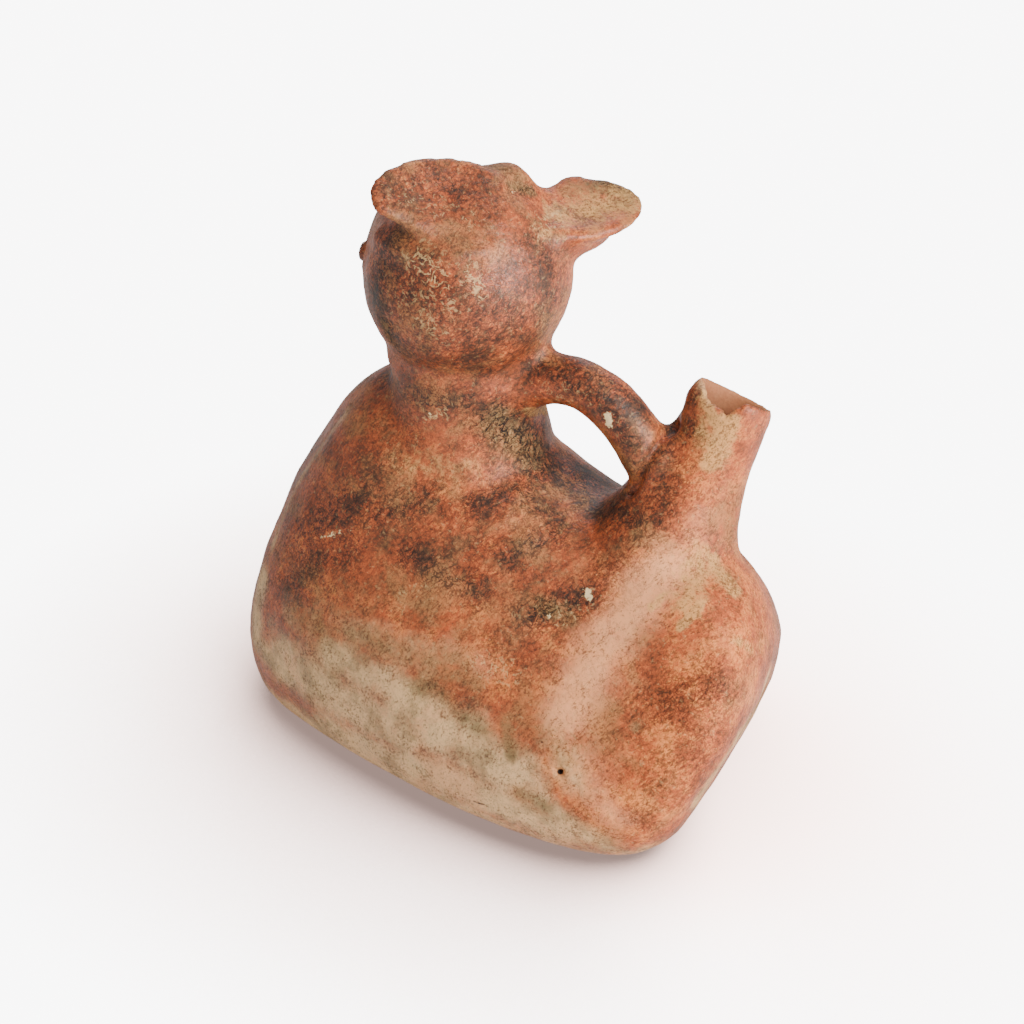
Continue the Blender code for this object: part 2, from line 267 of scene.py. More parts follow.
def settle(obj):
    """Turns an object's live modifiers into its plain mesh."""
    bpy.context.view_layer.update()
    graph = bpy.context.evaluated_depsgraph_get()
    mesh = bpy.data.meshes.new_from_object(obj.evaluated_get(graph))
    obj.modifiers.clear()
    old = obj.data
    obj.data = mesh
    bpy.data.meshes.remove(old)


def points_of(mesh):
    flat = np.empty(len(mesh.vertices) * 3)
    mesh.vertices.foreach_get("co", flat)
    return flat.reshape(-1, 3)


def normals_of(mesh):
    flat = np.empty(len(mesh.vertices) * 3, np.float32)
    mesh.vertices.foreach_get("normal", flat)
    return flat.reshape(-1, 3).astype(float)


def move_points(mesh, points):
    mesh.vertices.foreach_set("co", points.ravel())
    mesh.update()


clay = welded_copy(solid, "clay_vessel")
solid_tree = BVHTree.FromPolygons(
    [vert.co for vert in clay.data.vertices], [face.vertices[:] for face in clay.data.polygons]
)
AXES = ((1, 0, 0), (-1, 0, 0), (0, 1, 0), (0, -1, 0), (0, 0, 1), (0, 0, -1))
WAYS = [Vector(way) for way in AXES]
inner_faces = []
for face in clay.data.polygons:
    start = face.center + face.normal * OFF_THE_FACE
    shut_in = all(solid_tree.ray_cast(start, way)[0] is not None for way in WAYS)
    inner_faces.append(shut_in)
print("inner faces", sum(inner_faces), "of", len(inner_faces))

remesh = clay.modifiers.new("fine_skin", "REMESH")
remesh.mode = "VOXEL"
remesh.voxel_size = FINE_GRAIN
remesh.use_smooth_shade = True
settle(clay)
print("fine skin", len(clay.data.polygons), "squares")

# %% [markdown]
# ## Melting the facets away
# Wet fingers and a burnishing stone leave no flat facets. Plain smoothing would do it, but it
# also shrinks thin edges, so each inward pass is followed by a slightly stronger outward one.
# That keeps the ears and the lip of the spout at their true size.

# %% Smoothing passes
FIRST_PASSES = 5
EASE_IN = 0.55
EASE_OUT = -0.57
PASSES = 22


def edges_of(mesh):
    flat = np.empty(len(mesh.edges) * 2, np.int32)
    mesh.edges.foreach_get("vertices", flat)
    return flat.reshape(-1, 2)


def neighbour_mean(values, edges):
    """The mean of each point's neighbours, for one number or several a point."""
    first, second = edges[:, 0], edges[:, 1]
    count = len(values)
    ways = np.bincount(first, minlength=count) + np.bincount(second, minlength=count)
    table = values.reshape(count, -1)
    total = [
        np.bincount(first, table[second, k], count) + np.bincount(second, table[first, k], count)
        for k in range(table.shape[1])
    ]
    return (np.stack(total, 1) / np.maximum(ways, 1)[:, None]).reshape(values.shape)


edges = edges_of(clay.data)
points = points_of(clay.data)
for step in [EASE_IN] * FIRST_PASSES + [EASE_IN, EASE_OUT] * PASSES:
    points += step * (neighbour_mean(points, edges) - points)
move_points(clay.data, points)
print("smoothed", len(points), "points")

# %% [markdown]
# ## A lighter inside
# The hollow is real: the spout's bore leads into the body, and the neck into the head. Almost
# nothing of it shows, so its wall can do with far fewer faces. The inside could be a separate
# piece, but then the wall would have a seam at the lip. A Decimate modifier that follows a vertex
# group thins the inner wall alone.

# %% Thin out the inner wall
INNER_SHARE = 0.10


def inner_weights(mesh):
    """1 on the wall of the hollow and 0 outside, read from the nearest face of the solid."""
    return np.array(
        [float(inner_faces[solid_tree.find_nearest(vert.co)[2]]) for vert in mesh.vertices]
    )


inner = inner_weights(clay.data)
group = clay.vertex_groups.new(name="inner_wall")
group.add([int(k) for k in np.nonzero(inner)[0]], 1.0, "REPLACE")
squares = len(clay.data.polygons)
thin = clay.modifiers.new("thin_inside", "DECIMATE")
thin.vertex_group = "inner_wall"
thin.ratio = 1 - (1 - INNER_SHARE) * float(inner.mean())
settle(clay)
clay.vertex_groups.clear()
print(squares, "squares before,", len(clay.data.polygons), "faces after thinning the inside")

# %% [markdown]
# ## Aiming at the clay
# Marks, breaks and creases lie where the picture shows them. A tool is aimed from the eye through
# a point of the picture, and what it meets first is the place on the clay. On the sides that the
# picture doesn't show, a tool is set down at a plain place in millimetres instead.

# %% Aiming
def look_up(mesh):
    return BVHTree.FromPolygons(
        [vert.co for vert in mesh.vertices], [face.vertices[:] for face in mesh.polygons]
    )


clay_tree = look_up(clay.data)


def seen(across, down):
    """The place on the clay behind a point of the picture; one aimed past an edge lands on it."""
    ray = sight(across, down)
    place = clay_tree.ray_cast(EYE, ray)[0]
    if place is None:
        place = Vector(AIM)
        for _ in range(4):
            place = clay_tree.find_nearest(EYE + ray * (place - EYE).dot(ray))[0]
    return np.array(place)


def spot(stop):
    """A stop is a point of the picture, or three millimetre values near the clay."""
    if len(stop) == 2:
        return seen(*stop)
    return np.array(clay_tree.find_nearest(Vector(stop) / 1000)[0])


def nearness(places, stops, width):
    """1 on a line through the stops, falling off over the given half width in millimetres."""
    stops = [spot(stop) for stop in stops]
    found = np.zeros(len(places))
    for start, end in zip(stops, stops[1:] or stops):
        run = end - start
        share = np.clip((places - start) @ run / max(run @ run, 1e-12), 0, 1)
        away = np.linalg.norm(places - start - share[:, None] * run, axis=1) * 1000
        np.maximum(found, np.exp(-((away / width) ** 2)), out=found)
    return found


print("eye to clay at the picture's middle", [round(v, 3) for v in seen(512, 600)])

# %% [markdown]
# ## Finer clay where it is needed
# The lip, the face, a small hole and two chalky spots hold detail smaller than the grain of the
# skin. Splitting every face would double a mesh that is already fine enough, so only the faces
# round those places are split.

# %% The mouth, the head and finer places
SPOUT_ROOT = Vector((0.0546, 0.0020, 0.0840))
SPOUT_LENGTH = 0.0665
turn = Matrix.Rotation
spout_axis = turn(math.radians(50), 4, "Z") @ turn(math.radians(23.5), 4, "Y")
mouth_tip = turn(math.radians(-30), 4, "Z") @ turn(math.radians(-12), 4, "X")
MOUTH = (
    Matrix.Translation(SPOUT_ROOT)
    @ spout_axis
    @ Matrix.Translation((0, 0, SPOUT_LENGTH))
    @ mouth_tip
)
head_turn = turn(math.radians(146), 4, "Z") @ turn(math.radians(-10), 4, "Y")
HEAD = Matrix.Translation((-0.0226, 0, 0.1760)) @ head_turn @ turn(math.radians(12), 4, "X")
MUZZLE = (34.5, 0.0, -8.0)
OUTSIDE_HEAD = 0.06


def on_head(azimuth, rise, about=(0.0, 0.0, 0.0)):
    """A place on the head in millimetres, met from outside on the way to a point of the head."""
    flat, up = math.cos(math.radians(rise)), math.sin(math.radians(rise))
    turned = math.radians(azimuth)
    way = Vector((flat * math.cos(turned), flat * math.sin(turned), up))
    target = HEAD @ (Vector(about) / 1000)
    ray = -(HEAD.to_3x3() @ way)
    return tuple(clay_tree.ray_cast(target - ray * OUTSIDE_HEAD, ray)[0] * 1000)


def split_near(obj, stops, reach, times=1):
    """Splits every edge within a reach, in millimetres, of the stops."""
    for _ in range(times):
        bm = bmesh.new()
        bm.from_mesh(obj.data)
        places = np.array([vert.co for vert in bm.verts])
        close = nearness(places, stops, reach) > math.exp(-1)
        chosen = [e for e in bm.edges if close[e.verts[0].index] and close[e.verts[1].index]]
        bmesh.ops.subdivide_edges(bm, edges=chosen, cuts=1, use_grid_fill=True)
        bm.to_mesh(obj.data)
        bm.free()


lip = tuple(MOUTH.translation * 1000)
EYES = [on_head(side * 61, -4) for side in (1, -1)]
HOLE = (560, 772)
FACE = on_head(0, -8)
CHALKY = ((588, 594), (608, 420))
split_near(clay, [lip], 17)
split_near(clay, [FACE], 24)
split_near(clay, [HOLE], 4.5, 2)
for place in CHALKY:
    split_near(clay, [place], 3.5, 2)
inside = inner_weights(clay.data) > 0.5
print("finer skin", len(clay.data.polygons), "faces")

# %% [markdown]
# ## The broken lip
# A piece of the lip has broken away on the near side, with a jagged bottom. The solid already has
# the gap. Cutting it again would need a very odd cutter, so the height of the lip is redrawn
# instead: at each bearing round the mouth, the wall is stretched or squeezed to end where the
# break ends.

# %% Redraw the lip
LIP_DEPTH = 12.0
LIP_REACH = 17.0
SLOT = 4
LIP_LINE = (
    (-180, 1.5), (-165, 1.5), (-156, 1.4), (-150, 0.8), (-144, -0.8), (-139, -3.0), (-132, -4.2),
    (-126, -5.6), (-121, -5.0), (-112, -5.3), (-104, -5.2), (-98, -6.0), (-92, -6.3), (-87, -4.8),
    (-82, -2.4), (-77, -1.0), (-70, 0.0), (-40, 0.3), (0, 0.2), (60, 0.6), (110, 0.9), (180, 1.5),
)


def in_mouth(places):
    """Bearing in degrees, radius and height above the mouth's plane, in millimetres."""
    back = np.array(MOUTH.inverted())
    local = (places @ back[:3, :3].T + back[:3, 3]) * 1000
    bearing = np.degrees(np.arctan2(local[:, 1], local[:, 0]))
    return bearing, np.hypot(local[:, 0], local[:, 1]), local[:, 2]


edges = edges_of(clay.data)
points = points_of(clay.data)
bearing, radius, rise = in_mouth(points)
wall = (radius < LIP_REACH) & (rise > -LIP_DEPTH)
slots = np.arange(-180, 181, SLOT)
tops = []
for slot in slots:
    apart = np.abs((bearing - slot + 180) % 360 - 180)
    tops.append(rise[wall & (apart < SLOT)].max())
line = np.array(LIP_LINE).T
wanted = np.interp(bearing, line[0], line[1])
current = np.interp(bearing, slots, tops)
stretch = (wanted + LIP_DEPTH) / (current + LIP_DEPTH)
moved = np.where(wall, (rise + LIP_DEPTH) * (stretch - 1), 0.0)
points += moved[:, None] / 1000 * np.array(MOUTH.to_3x3() @ Vector((0, 0, 1)))
move_points(clay.data, points)
print("lip redrawn, up to %.1f mm" % np.abs(moved).max())

# %% [markdown]
# ## Soft joints, small hurts and the face
# The near ear grows out of the skull with no undercut, the handle meets the spout in a sharp
# crease, the clay has a few pits, and the face has ringed eyes, a mouth and nostrils. Sculpting by
# hand could do it, but here each is one stroke of a tool: one melts the clay along a line, one
# presses it in or draws it out, and one drags it sideways as the picture shows it.

# %% Tools for the clay
def melt(stops, width, passes):
    """Smooths the clay along a line until its creases fill."""
    weight = (0.5 * nearness(points, stops, width))[:, None]
    for _ in range(passes):
        points[:] += weight * (neighbour_mean(points, edges) - points)


def press(stops, width, depth):
    """Presses a line into the clay, in millimetres; a negative depth raises it."""
    move_points(clay.data, points)
    weight = nearness(points, stops, width)[:, None]
    points[:] -= weight * depth / 1000 * normals_of(clay.data)


def drag(stops, width, right, up):
    """Draws the clay right and up as the picture shows it, in millimetres."""
    weight = nearness(points, stops, width)[:, None]
    points[:] += weight / 1000 * np.array(EYE_TURN.to_matrix() @ Vector((right, up, 0)))


press([(381, 236), (398, 247), (425, 254), (455, 256), (478, 250)], 4.5, -2.6)
press([(492, 176), (512, 178)], 8.0, -3.2)
press([(545, 176)], 4.0, 1.2)
melt([(402, 226), (420, 232), (446, 237), (472, 234)], 4.0, 110)
melt([(480, 168), (520, 176)], 9.0, 40)
drag([(508, 178), (530, 190)], 6.0, 1.5, 2.5)
drag([(534, 184), (548, 180)], 5.0, 0.5, -3.2)
melt([(532, 186), (545, 185)], 5.0, 30)
melt([(556, 246), (585, 240), (610, 233)], 4.0, 60)
drag([(394, 356)], 6.0, -2.4, 0.6)
drag([(677, 424)], 3.6, -0.4, -2.4)
melt([(384, 219), (400, 226)], 3.0, 24)
drag([(556, 346)], 6.0, -2.6, -1.0)
drag([(701, 386)], 4.0, -1.0, 0.6)
drag([(694, 398), (689, 413)], 4.0, -2.0, 0.5)
drag([(714, 768), (698, 800)], 7.0, -1.5, 0.7)
drag([(674, 834)], 6.0, 1.4, 0.0)
melt([(370, 200), (376, 178), (396, 164), (430, 158), (462, 160), (488, 172)], 3.0, 16)
melt([(560, 180), (600, 177), (632, 187), (642, 205), (630, 222), (600, 240)], 3.0, 16)
melt([(532, 234), (546, 246), (560, 253), (575, 250)], 4.0, 70)
press([(674, 424), (664, 436), (652, 456), (641, 472), (630, 490)], 1.7, 3.0)
press([(541, 360), (525, 372), (507, 384)], 2.0, 0.5)
press([(700, 504), (715, 509)], 0.8, 0.5)
press([(690, 565), (640, 600), (600, 655), (562, 715)], 9.0, -0.5)
press([(400, 492), (470, 480), (545, 480)], 12.0, 0.5)
press([HOLE], 1.3, 3.4)
press([(555, 770)], 0.9, 0.9)
for pit in ((563, 752), (591, 760), (485, 806), (430, 600), (505, 640), (340, 560), (612, 560)):
    press([pit], 0.8, 0.6)
EYE_RING = 5.2
for place in EYES:
    press([place], 3.0, -0.15)
    along = Vector((0, 0, 1)).cross(Vector(place) / 1000 - HEAD.translation).normalized()
    rising = HEAD.to_3x3() @ Vector((0, 0, 1))
    ring = [
        tuple(Vector(place) + EYE_RING * (math.cos(a) * along + math.sin(a) * rising))
        for a in np.linspace(0, 2 * math.pi, 17)
    ]
    press(ring, 0.9, 1.3)
mouth_line = [on_head(turned, -24, MUZZLE) for turned in (-80, -55, -30, 0, 30, 55, 80)]
press(mouth_line, 1.1, 1.8)
for side in (1, -1):
    press([on_head(20 * side, 18, MUZZLE)], 1.5, 2.0)
move_points(clay.data, points)
print("joints softened, eyes ringed, mouth and nostrils drawn")

# %% [markdown]
# ## Hand-worked surface
# The wall was pinched and coiled by hand, then rubbed with a smooth stone, so it swells and dips
# by a fraction of a millimetre, with long soft facets where the stone ran and a fine grain of
# sand. Sculpting each dent would take days. The rule is the same everywhere, so a Geometry Nodes
# tree pushes the points along their normals by three layers of noise, and the sizes are its named
# inputs.

# %% The tree that works the clay
def hand_work_tree(material):
    tree = bpy.data.node_groups.new("hand_worked_clay", "GeometryNodeTree")
    face = tree.interface
    face.new_socket("Geometry", in_out="INPUT", socket_type="NodeSocketGeometry")
    for name in ("Dent Depth", "Dent Length", "Stroke Depth", "Stroke Length", "Grain Depth"):
        face.new_socket(name, in_out="INPUT", socket_type="NodeSocketFloat")
    face.new_socket("Grain Length", in_out="INPUT", socket_type="NodeSocketFloat")
    face.new_socket("Seed", in_out="INPUT", socket_type="NodeSocketFloat")
    face.new_socket("Geometry", in_out="OUTPUT", socket_type="NodeSocketGeometry")
    start = node(tree, "NodeGroupInput")
    place = node(tree, "GeometryNodeInputPosition").outputs[0]
    along = node(tree, "FunctionNodeRotateVector")
    wire(tree, along.inputs["Vector"], place)
    along.inputs["Rotation"].default_value = (0.0, math.radians(34), math.radians(-22))
    drawn = node(tree, "ShaderNodeVectorMath", operation="MULTIPLY")
    wire(tree, drawn.inputs[0], along.outputs[0])
    drawn.inputs[1].default_value = (0.32, 1.0, 1.0)
    total = None
    layers = (("Dent", place, 1.0), ("Stroke", drawn.outputs[0], 1.5), ("Grain", place, 2.0))
    for name, at, detail in layers:
        scale = sums(tree, "DIVIDE", 1.0, start.outputs[name + " Length"])
        wave = noise(tree, at, scale, detail, seed=start.outputs["Seed"])
        swing = sums(tree, "SUBTRACT", wave, 0.5)
        push = sums(tree, "MULTIPLY", swing, start.outputs[name + " Depth"])
        total = push if total is None else sums(tree, "ADD", total, push)
    freedom = node(tree, "GeometryNodeInputNamedAttribute", data_type="FLOAT")
    freedom.inputs["Name"].default_value = "freedom"
    total = sums(tree, "MULTIPLY", total, freedom.outputs["Attribute"])
    push = node(tree, "ShaderNodeVectorMath", operation="SCALE")
    wire(tree, push.inputs[0], node(tree, "GeometryNodeInputNormal").outputs[0])
    wire(tree, push.inputs["Scale"], total)
    move = node(tree, "GeometryNodeSetPosition")
    wire(tree, move.inputs["Geometry"], start.outputs["Geometry"])
    wire(tree, move.inputs["Offset"], push.outputs[0])
    real = node(tree, "GeometryNodeRealizeInstances")
    wire(tree, real.inputs[0], move.outputs[0])
    finish = node(tree, "GeometryNodeSetMaterial")
    wire(tree, finish.inputs["Geometry"], real.outputs[0])
    finish.inputs["Material"].default_value = material
    wire(tree, node(tree, "NodeGroupOutput").inputs[0], finish.outputs[0])
    return tree


def set_inputs(modifier, values):
    """Sets a tree's inputs by their identifiers."""
    for item in modifier.node_group.interface.items_tree:
        if item.item_type == "SOCKET" and item.in_out == "INPUT" and item.name in values:
            modifier[item.identifier] = values[item.name]


def keep_field(mesh, name, values):
    """Stores one number a point, which the trees and materials read by its name."""
    field = mesh.attributes.get(name) or mesh.attributes.new(name, "FLOAT", "POINT")
    field.data.foreach_set("value", np.asarray(values, np.float32))


print("the tree that works the clay is defined")

# %% [markdown]
# ## Where the tree may work
# The foot stands flat on the floor, and nobody can rub the wall of a hollow. The tree could be cut
# off there, but that would leave an edge. So a field called freedom lets each point move less the
# nearer it is to the ground, and half as far inside.

# %% Work the wall
FOOT_FADE = 0.008
INSIDE_HELD = 0.5
burnished = bpy.data.materials.new("burnished_clay")
bare = bpy.data.materials.new("bare_clay")

points = points_of(clay.data)
inner = inner_weights(clay.data)
freedom = np.clip(points[:, 2] / FOOT_FADE, 0, 1) * (1 - INSIDE_HELD * inner)
keep_field(clay.data, "freedom", freedom)
worked = clay.modifiers.new("hand_work", "NODES")
worked.node_group = hand_work_tree(burnished)
set_inputs(
    worked,
    {
        "Dent Depth": 0.0022,
        "Dent Length": 0.028,
        "Stroke Depth": 0.0010,
        "Stroke Length": 0.008,
        "Grain Depth": 0.00022,
        "Grain Length": 0.0024,
        "Seed": 3.0,
    },
)
settle(clay)
print("worked wall", len(clay.data.polygons), "faces")

# %% [markdown]
# ## Where the marks lie
# Fire clouds, worn slip and old dirt lie where the kiln, hands and soil left them, so they can't
# come from noise alone. Some fields also hold painted light: painted highlights on the ridge, the
# spout and the head, a painted reflection along the left outline, painted shade under the handle
# and in the pits, and the lit end face painted lighter. Each kind of mark becomes a field, one
# number for every point of the clay, laid with a soft brush. Noise in the material then frays
# their edges. The marks on the hidden sides are guesses, in keeping and fewer.

# %% Brushes for the fields
points = points_of(clay.data)
clay_tree = look_up(clay.data)


def lay(name, strokes):
    """Makes one field from rows of stops, half width in millimetres and strength."""
    field = np.zeros(len(points))
    for stops, width, strength in strokes:
        np.maximum(field, strength * nearness(points, stops, width), out=field)
    keep_field(clay.data, name, field)
    print(name, "covers %.0f%% of the points" % (100 * (field > 0.3).mean()))


# Soot and fire clouds, and painted shade under the handle.
lay(
    "soot_and_shade",
    [
        ([(392, 240), (376, 290), (400, 345)], 9, 0.95),
        ([(425, 262), (440, 330), (430, 350)], 8, 0.6),
        ([(530, 340), (480, 372), (440, 360)], 7, 0.75),
        ([(540, 250), (555, 300), (535, 335)], 9, 0.7),
        ([(388, 372), (430, 398), (470, 402)], 6, 0.85),
        # Painted shade under the handle.
        ([(492, 420), (530, 440), (540, 462)], 10, 1.2),
        ([(474, 505), (520, 492), (560, 520)], 7, 0.85),
        ([(509, 559), (552, 534)], 6, 0.9),
        ([(374, 515), (430, 500)], 7, 0.8),
        ([(306, 530), (365, 496)], 9, 0.8),
        ([(296, 580), (345, 548)], 9, 0.6),
        ([(410, 555), (440, 572), (475, 590)], 7.5, 0.85),
        ([(530, 615), (584, 598)], 7.5, 1.0),
        ([(590, 505), (650, 520)], 8, 0.9),
        ([(557, 378), (605, 398), (628, 440)], 5, 0.95),
        ([(632, 470), (655, 455), (690, 430)], 5, 0.8),
        ([(661, 705), (714, 690)], 10, 0.6),
        ([(690, 735), (700, 780)], 8, 0.5),
        ([(655, 790), (640, 820)], 6, 0.4),
        ([(430, 686), (460, 712)], 5, 0.3),
        ([(600, 181), (635, 190)], 2.5, 0.8),
        ([(512, 190), (532, 190)], 3.0, 1.0),
        ([EYES[0]], 3.4, 1.0),
        ([EYES[1]], 3.4, 1.0),
        ([(400, 290), (520, 320), (470, 350)], 20, 0.75),
        ([(430, 260), (500, 285)], 13, 0.4),
        ([(390, 190), (430, 180), (470, 195)], 14, 0.6),
        ([(540, 365), (590, 372), (640, 410)], 8, 0.85),
        # Painted shade on the body under the handle.
        ([(530, 465), (600, 482)], 14, 1.0),
        ([(380, 470), (330, 520), (300, 560)], 13, 0.45),
        ([(440, 520), (520, 560)], 16, 0.4),
        ([(640, 540), (600, 580)], 9, 0.5),
        ([(500, 640), (540, 660)], 9, 0.35),
        ([(676, 425), (662, 500)], 8, 0.75),
        ([(500, 180)], 9, 0.5),
        ([(697, 390), (692, 402)], 3.0, 0.6),
        ([(-60, 50, 90), (-40, 58, 70)], 10, 0.8),
        ([(0, 60, 80), (30, 62, 60)], 9, 0.8),
        ([(-85, 20, 60), (-90, -10, 80)], 9, 0.7),
        ([(60, 60, 70)], 8, 0.6),
        ([(20, 40, 110), (50, 50, 100)], 8, 0.7),
    ],
)
# Worn cream slip on the lower flank, and a painted reflection along the left outline.
lay(
    "pale_and_sheen",
    [
        ([(285, 660), (340, 700), (400, 732)], 13, 0.95),
        ([(330, 655), (420, 705), (480, 740)], 10, 0.9),
        ([(400, 705), (450, 740), (520, 780)], 13, 0.9),
        ([(330, 732), (420, 770), (500, 805), (560, 832)], 11, 0.95),
        ([(540, 800), (600, 842), (655, 848)], 7, 0.85),
        ([(552, 742), (575, 785)], 8, 0.6),
        ([(360, 640), (290, 610)], 9, 0.5),
        ([(773, 678), (757, 706), (736, 740)], 5.0, 0.85),
        ([(736, 740), (714, 775), (696, 802)], 4.5, 0.8),
        ([(84, 10, 20), (70, 40, 14)], 12, 0.6),
        # Painted reflection along the lower left outline.
        ([(262, 580), (256, 640), (264, 690)], 7, 0.9),
        ([(699, 382), (706, 394)], 3.0, 0.55),
        ([(-98, -30, 8), (-60, -55, 6), (0, -66, 6), (50, -62, 6), (80, -50, 8)], 10, 1.0),
        # Painted reflection along the upper left outline.
        ([(334, 404), (300, 480), (272, 548)], 3.0, 0.6),
        ([(300, 620), (420, 660)], 14, 0.45),
        ([(-70, 55, 18), (0, 66, 16), (50, 64, 14)], 14, 0.9),
        ([(-98, -10, 16), (-95, 20, 14)], 10, 0.8),
    ],
)
# Painted highlight: the key light's broad pink highlight along the ridge, on the spout and on the
# head, with some rosy wear.
lay(
    "rose_and_highlight",
    [
        ([(670, 568), (640, 592), (600, 650), (565, 715)], 11, 1.0),
        ([(690, 552), (698, 520)], 8, 0.5),
        ([(500, 670), (450, 650)], 8, 0.4),
        ([(570, 745), (588, 790), (612, 818)], 11, 0.58),
        ([(470, 462), (500, 470)], 7, 0.3),
        ([(497, 255)], 8, 0.5),
        ([(-20, 64, 50), (20, 68, 40)], 12, 0.6),
    ],
)
# Clean orange slip, and the end face that faces the key light and the highlighted ridge painted
# lighter.
lay(
    "clean_and_lit",
    [
        ([(755, 610), (710, 660), (640, 790)], 24, 1.0),
        ([(560, 735), (575, 790), (620, 830)], 12, 1.0),
        ([(700, 470), (690, 545), (640, 600), (565, 720)], 13, 0.8),
        ([(735, 420), (730, 540)], 6, 0.6),
        ([(390, 610), (470, 650), (520, 690)], 12, 0.5),
    ],
)
lay(
    "flame",
    [
        ([(672, 665), (716, 652)], 7.5, 1.15),
        ([(740, 662), (764, 640)], 7, 1.05),
        ([(714, 692), (740, 680)], 6, 0.9),
        ([(630, 765), (659, 810)], 9, 1.15),
        ([(700, 640), (740, 650), (760, 670)], 8, 0.8),
        ([(690, 800), (660, 835), (610, 820)], 7, 0.7),
        ([(521, 700), (556, 690)], 6, 0.95),
        ([(480, 672), (515, 685)], 6, 0.85),
        ([(390, 610), (427, 625)], 7, 0.85),
        ([(430, 600), (520, 640), (560, 660)], 9, 0.6),
        ([(272, 648), (270, 590), (282, 550)], 4.5, 1.1),
        ([(300, 480), (360, 440), (420, 470)], 11, 0.6),
        ([(728, 470), (735, 560)], 3.5, 0.95),
        ([(660, 585), (720, 600), (755, 620)], 7, 0.85),
        ([(705, 440), (720, 500), (715, 540)], 10, 0.6),
        ([(590, 790), (620, 815)], 8, 0.58),
        ([(400, 740), (370, 708)], 4, 0.6),
        ([(470, 330), (520, 300)], 9, 0.6),
        ([(430, 190), (470, 190)], 5, 0.6),
        ([(40, 66, 70), (60, 66, 50)], 9, 0.8),
        ([(-60, 58, 50)], 9, 0.7),
    ],
)
lay(
    "earth",
    [
        ([(728, 425), (712, 460)], 5.5, 0.9),
        ([(706, 395), (712, 420), (735, 420)], 2.4, 1.0),
        ([(705, 400), (702, 440)], 4, 0.6),
        ([(712, 562), (734, 590)], 5, 0.8),
        ([(700, 560), (690, 600)], 9, 0.65),
        ([(701, 604), (694, 612)], 2.3, 1.0),
        ([(690, 616), (680, 627)], 2.0, 1.0),
        ([(652, 607), (664, 597)], 2.4, 0.7),
        ([(735, 640), (752, 652)], 3, 0.6),
        ([(560, 215), (600, 205), (625, 198)], 11, 0.62),
        ([(535, 226), (560, 236)], 4, 0.5),
        ([(400, 462), (470, 468)], 7, 0.45),
        ([(530, 410), (555, 407)], 3, 0.9),
        ([(-10, 30, 128)], 5, 0.5),
    ],
)
lay(
    "smoke",
    [
        ([(420, 686), (450, 694)], 6, 0.62),
        ([(450, 708), (484, 730)], 6, 0.6),
        ([(520, 793), (548, 808)], 5, 0.6),
        ([(545, 605), (570, 620)], 5, 0.9),
        ([(505, 720), (512, 755)], 3.5, 0.8),
        ([(512, 185), (532, 192)], 3.0, 1.0),
        ([(520, 175), (500, 168)], 5, 0.8),
        ([(635, 727)], 2.4, 0.9),
        ([(385, 325), (388, 335)], 4, 0.8),
        ([(565, 190), (600, 185), (636, 195)], 5, 0.75),
        ([(600, 210), (635, 205)], 6, 0.6),
        ([(445, 655), (465, 665)], 5, 0.6),
        ([(286, 560), (350, 592), (420, 604)], 11, 0.5),
        ([(300, 618), (400, 650), (475, 682)], 8, 0.55),
        ([(450, 480), (380, 420)], 10, 0.45),
        ([(640, 540), (600, 560)], 8, 0.5),
        ([(496, 425), (530, 455)], 10, 0.85),
        ([(765, 690), (740, 735)], 3.5, 0.7),
    ],
)
lay(
    "polish",
    [
        ([(494, 246), (503, 268)], 6, 1.0),
    ],
)
lay(
    "roots",
    [
        ([(415, 262), (440, 280)], 5.5, 1.0),
        ([(470, 275), (480, 290)], 4.5, 0.9),
        ([(420, 318), (440, 330)], 4.5, 0.7),
        ([(400, 300), (450, 300)], 6.0, 0.5),
        ([(390, 190), (470, 215)], 6.0, 0.3),
        ([(540, 232), (560, 215)], 4.0, 0.8),
        ([(427, 417), (445, 412)], 2.2, 1.0),
        ([(555, 395), (585, 400)], 4.0, 0.5),
        ([(480, 665), (510, 672)], 4.5, 0.8),
        ([(400, 600), (420, 590)], 3.5, 0.5),
        ([(560, 620), (590, 600)], 3.5, 0.5),
    ],
)
lay(
    "chalk",
    [
        ([(588, 592), (590, 597)], 1.8, 0.85),
        ([(549, 615)], 1.3, 0.6),
        ([(608, 417), (608, 423)], 2.0, 0.85),
        ([(322, 537), (350, 530)], 1.2, 0.52),
        ([(430, 414)], 1.3, 0.6),
        ([(514, 192)], 1.2, 0.6),
    ],
)
# Painted shade in the small hole and the pits.
lay(
    "pit_shade",
    [
        ([HOLE], 1.25, 1.0),
        ([(563, 752)], 0.7, 0.8),
        ([(591, 760)], 0.75, 0.8),
        ([(474, 801), (488, 807)], 0.6, 0.75),
        ([(430, 600)], 0.6, 0.7),
        ([(542, 742)], 0.6, 0.7),
    ],
)
print("eleven fields laid")

# %% [markdown]
# ## Effects that are used more than once
# The outside needs marks with frayed edges and thin broken hairlines many times over, and shares a
# sandy grain with the inside. Each could be wired again wherever it is needed, but a shader node
# group is built once and placed with its own values each time.

# %% Shared shader groups
def shader_group(name, inputs, outputs):
    tree = bpy.data.node_groups.new(name, "ShaderNodeTree")
    for word, kind, value in inputs:
        socket = tree.interface.new_socket(word, in_out="INPUT", socket_type=kind)
        if value is not None:
            socket.default_value = value
    for word, kind in outputs:
        tree.interface.new_socket(word, in_out="OUTPUT", socket_type=kind)
    return tree, node(tree, "NodeGroupInput").outputs, node(tree, "NodeGroupOutput").inputs


FLOAT = "NodeSocketFloat"
VECTOR = "NodeSocketVector"


